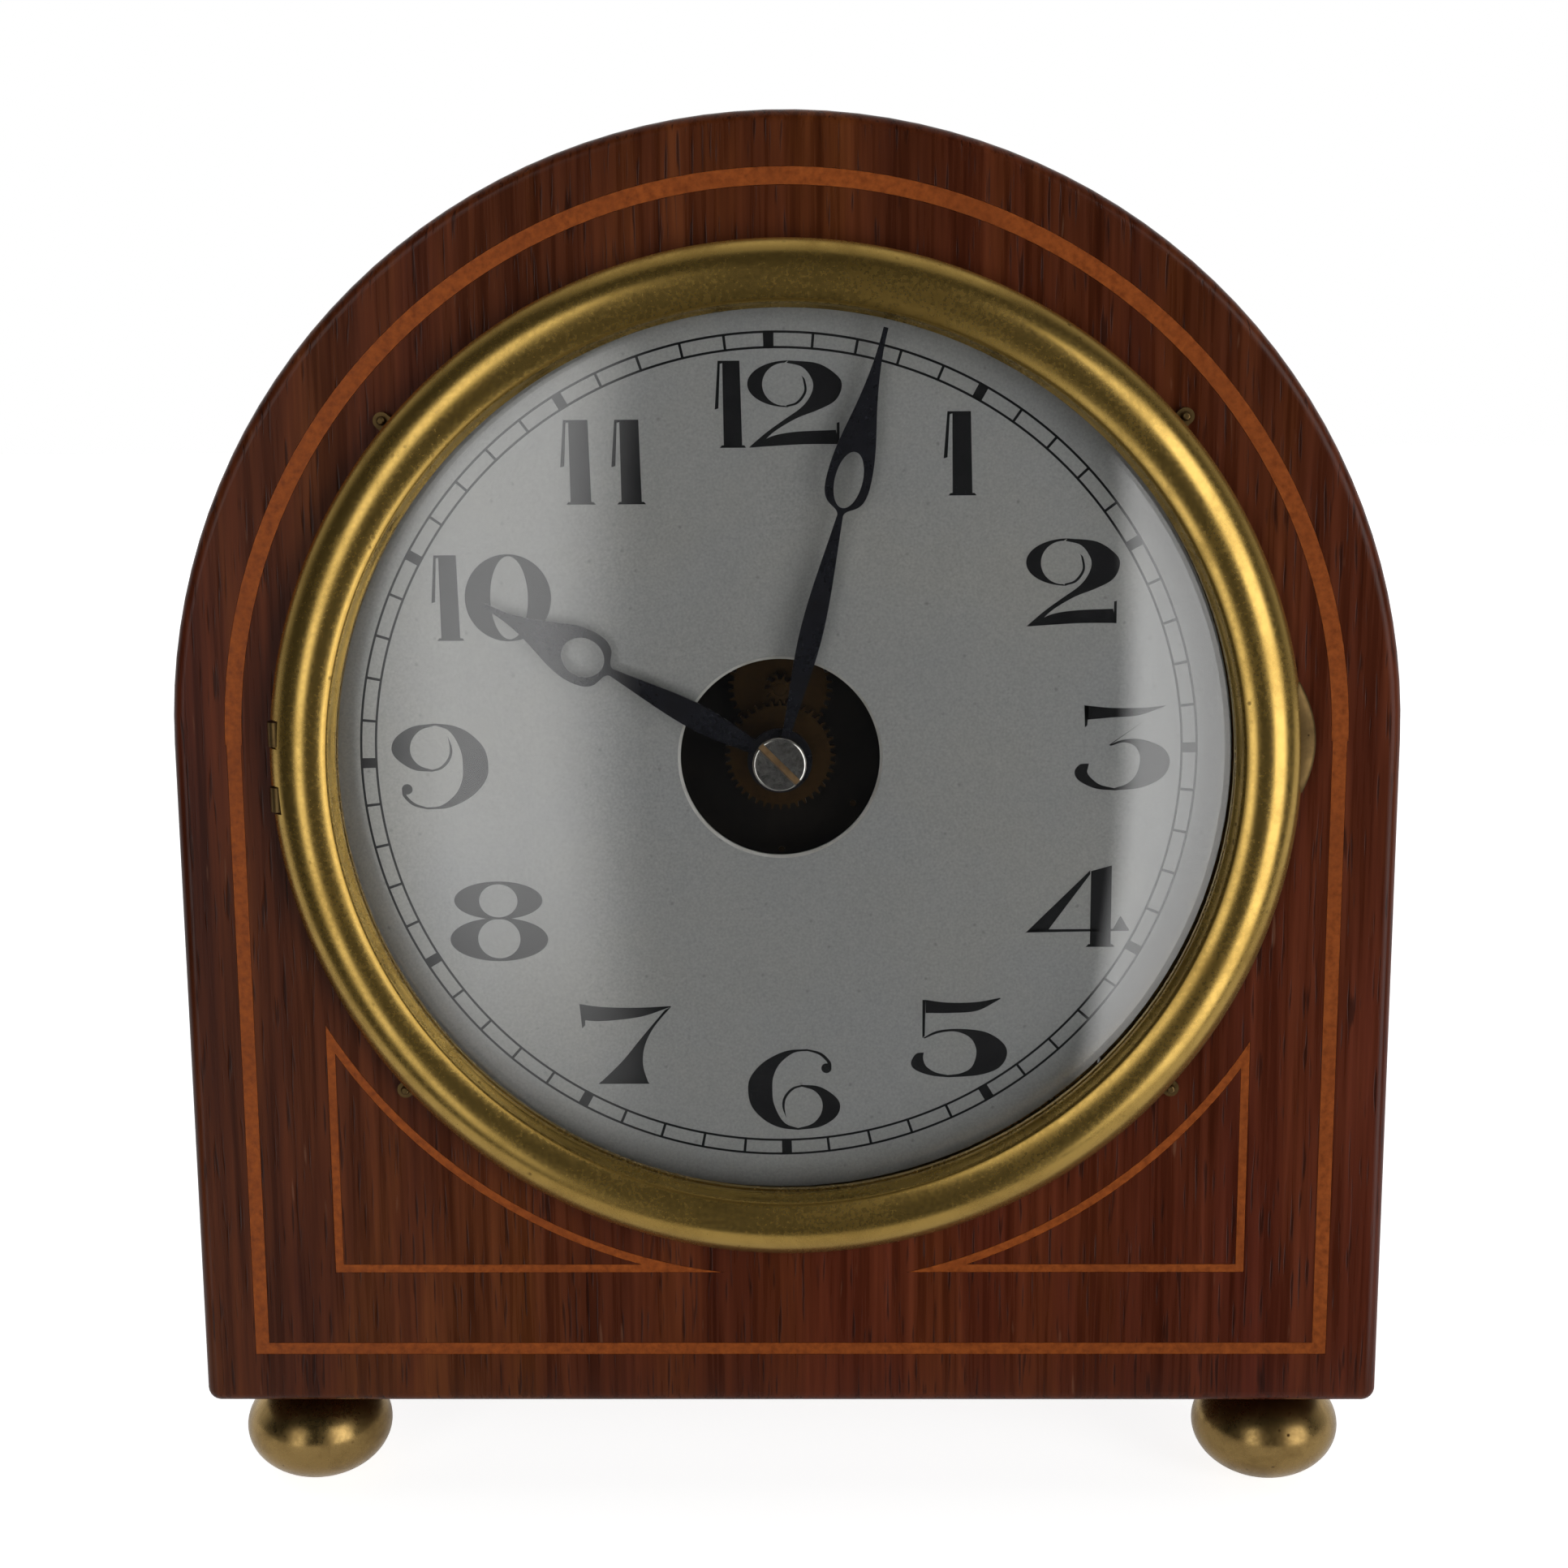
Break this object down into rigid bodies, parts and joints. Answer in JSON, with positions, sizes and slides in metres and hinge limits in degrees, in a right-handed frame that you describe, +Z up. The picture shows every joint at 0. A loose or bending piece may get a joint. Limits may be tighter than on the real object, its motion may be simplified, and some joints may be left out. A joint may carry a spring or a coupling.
{
  "type": "mantel clock",
  "caption": "Round-arched wooden mantel clock with inlaid strings, hinged brass bezel, domed glass, silvered dial with loop hands and a battery pendulum movement on brass bun feet.",
  "frame": {"origin": "centre of the bounding box at the plane that the feet stand on", "axes": "+X to the viewer's right, +Y from the dial to the back door, +Z up"},
  "size_m": [0.19, 0.1056, 0.2209],
  "materials": {
    "case_wood": "polished dark mahogany veneer",
    "door_wood": "satin mahogany",
    "inlay_wood": "polished fruitwood stringing",
    "cast_brass": "polished, slightly worn",
    "bezel_brass": "polished, spotted patina",
    "hinge_brass": "satin",
    "steel": "satin",
    "dial_silver": "matt silvered",
    "hand_blue": "dark blued, polished",
    "glass": "clear domed",
    "movement_brass": "satin, aged",
    "magnet_steel": "dark satin",
    "fibre": "pressed fibre",
    "copper_wire": "varnished wire under silk",
    "cell_jacket": "plain card jacket",
    "lead_cloth": "cloth-covered bell wire"
  },
  "bodies": {
    "case": {"front_panel": "case_wood", "arch_band": "case_wood", "base_board": "case_wood", "back_board": "case_wood", "inlay_arch": "inlay_wood", "inlay_legs": "inlay_wood", "inlay_base": "inlay_wood", "inlay_spandrels": "inlay_wood", "foot_front_left": "cast_brass", "foot_front_right": "cast_brass", "foot_back_left": "cast_brass", "foot_back_right": "cast_brass", "bezel_seat_ring": "bezel_brass", "bezel_pins": "bezel_brass", "bezel_hinge_pin": "bezel_brass", "frame_hinge_leaves": "hinge_brass", "door_hinge_pins": "steel", "button_screw": "steel", "dial_plate": "dial_silver", "dial_feet": "movement_brass", "mounting_bars": "movement_brass", "bar_screws": "steel", "front_plate": "movement_brass", "rear_plate": "movement_brass", "pillars": "movement_brass", "pillar_screws": "steel", "minute_post": "steel", "suspension_post": "steel", "contact_block": "fibre", "contact_strip": "movement_brass", "coil_bobbin": "fibre", "coil_winding": "copper_wire", "coil_bracket": "movement_brass", "battery_cell": "cell_jacket", "battery_terminals": "movement_brass", "lead_wires": "lead_cloth"},
    "bezel": {"bezel": "bezel_brass", "dome_glass": "glass", "glass_ring": "bezel_brass"},
    "door": {"back_door": "door_wood", "door_knob": "hinge_brass", "door_hinge_leaves": "hinge_brass"},
    "door_button": {"turn_button": "hinge_brass"},
    "minute_work": {"minute_hand": "hand_blue", "hand_nut": "steel", "centre_arbor": "steel", "cannon_pinion": "movement_brass", "centre_wheel": "movement_brass"},
    "hour_work": {"hour_hand": "hand_blue", "hour_wheel": "movement_brass"},
    "minute_wheel": {"minute_wheel": "movement_brass"},
    "third_wheel": {"third_wheel": "movement_brass"},
    "ratchet_wheel": {"ratchet_wheel": "movement_brass"},
    "pendulum": {"suspension_hanger": "movement_brass", "suspension_spring": "steel", "pendulum_rod": "steel", "pendulum_magnet": "magnet_steel", "magnet_clamp": "movement_brass"},
    "pawl": {"drive_pawl": "steel"},
    "rating_nut": {"rating_nut": "movement_brass"}
  },
  "joints": [
    {"name": "bezel_open", "type": "hinge", "parent": "case", "child": "bezel", "pos_m": [-0.078, -0.0442, 0.1231], "axis": [0, 0, -1], "range_deg": [0, 100]},
    {"name": "door_open", "type": "hinge", "parent": "case", "child": "door", "pos_m": [0.05775, 0.0467, 0.086], "axis": [0, 0, -1], "range_deg": [0, 110]},
    {"name": "button_turn", "type": "hinge", "parent": "case", "child": "door_button", "pos_m": [-0.0645, 0.0451, 0.12], "axis": [0, 1, 0], "range_deg": [0, 90]},
    {"name": "minute_turn", "type": "hinge", "parent": "case", "child": "minute_work", "pos_m": [-0.0008, -0.0412, 0.1231], "axis": [0, 1, 0], "continuous": true},
    {"name": "hour_turn", "type": "hinge", "parent": "case", "child": "hour_work", "pos_m": [-0.0008, -0.0412, 0.1231], "axis": [0, 1, 0], "continuous": true},
    {"name": "minute_wheel_turn", "type": "hinge", "parent": "case", "child": "minute_wheel", "pos_m": [-0.0008, -0.0322, 0.1335], "axis": [0, 1, 0], "continuous": true},
    {"name": "third_turn", "type": "hinge", "parent": "case", "child": "third_wheel", "pos_m": [0.01057, -0.0172, 0.11426], "axis": [0, 1, 0], "continuous": true},
    {"name": "ratchet_turn", "type": "hinge", "parent": "case", "child": "ratchet_wheel", "pos_m": [-0.0008, -0.0172, 0.1068], "axis": [0, 1, 0], "continuous": true},
    {"name": "pendulum_swing", "type": "hinge", "parent": "case", "child": "pendulum", "pos_m": [-0.0008, 0.0048, 0.1451], "axis": [0, 1, 0], "range_deg": [-7, 7]},
    {"name": "pawl_lift", "type": "hinge", "parent": "pendulum", "child": "pawl", "pos_m": [-0.0008, -0.0036, 0.1271], "axis": [0, -1, 0], "range_deg": [0, 20]},
    {"name": "rating_turn", "type": "hinge", "parent": "pendulum", "child": "rating_nut", "pos_m": [-0.0008, 0.0048, 0.0405], "axis": [0, 0, 1], "continuous": true}
  ],
  "couplings": [
    {"joint": "hour_turn", "follows": "minute_turn", "ratio": 0.083333},
    {"joint": "minute_wheel_turn", "follows": "minute_turn", "ratio": -0.33333},
    {"joint": "third_turn", "follows": "minute_turn", "ratio": -8},
    {"joint": "ratchet_turn", "follows": "minute_turn", "ratio": 60}
  ]
}
